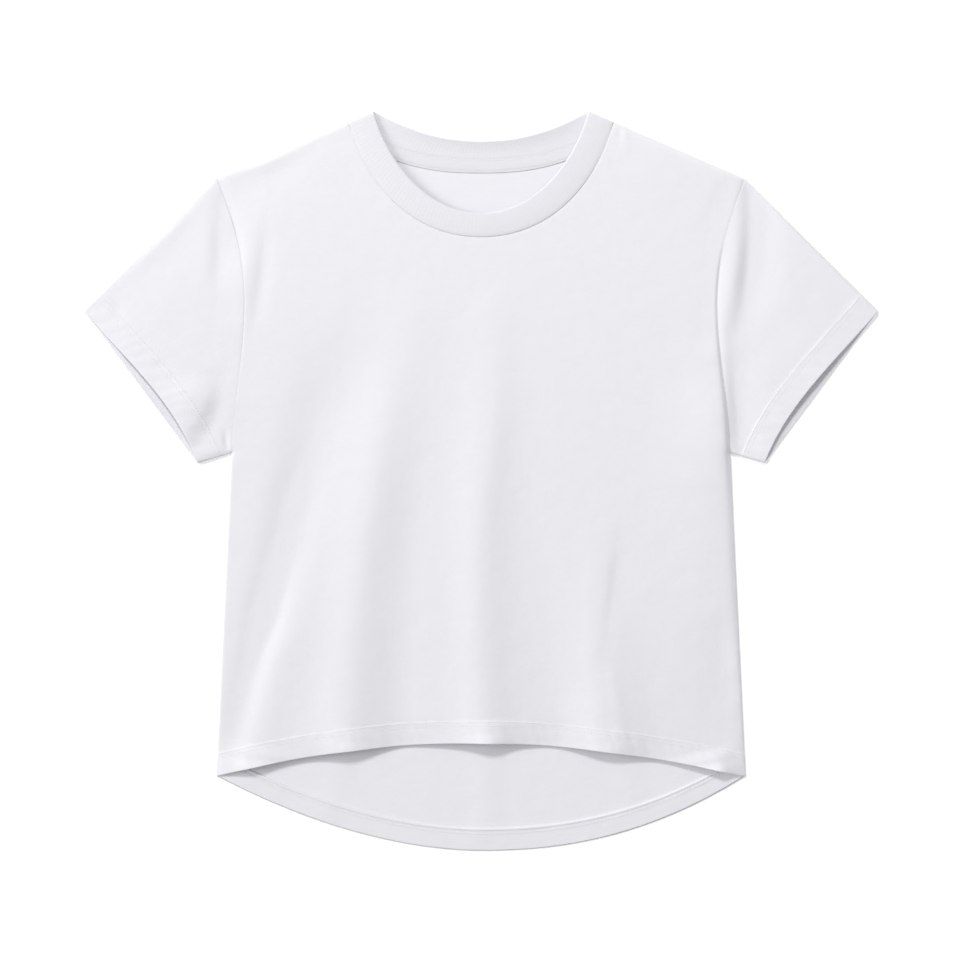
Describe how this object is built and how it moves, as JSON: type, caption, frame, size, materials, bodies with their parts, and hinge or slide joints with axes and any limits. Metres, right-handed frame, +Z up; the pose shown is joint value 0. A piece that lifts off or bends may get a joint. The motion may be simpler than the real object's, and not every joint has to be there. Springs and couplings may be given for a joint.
{
  "type": "short sleeve t-shirt",
  "caption": "Loose short sleeve T-shirt with a ribbed crew neck and a dropped back hem, laid flat with its front up",
  "frame": {"origin": "on the surface that the shirt lies on, under the middle of its outline", "axes": "+X across the shirt to the wearer's left sleeve, +Y from the hem to the neck, +Z up from the surface, out of the front"},
  "size_m": [0.795, 0.7405, 0.0186],
  "materials": {
    "jersey": "matt white cotton jersey",
    "rib": "matt white rib knit",
    "tape": "matt white jersey tape"
  },
  "bodies": {
    "root": {"body_front": "jersey", "body_back": "jersey", "sleeve_left": "jersey", "sleeve_right": "jersey", "neckband": "rib", "neck_tape": "tape"}
  },
  "joints": []
}
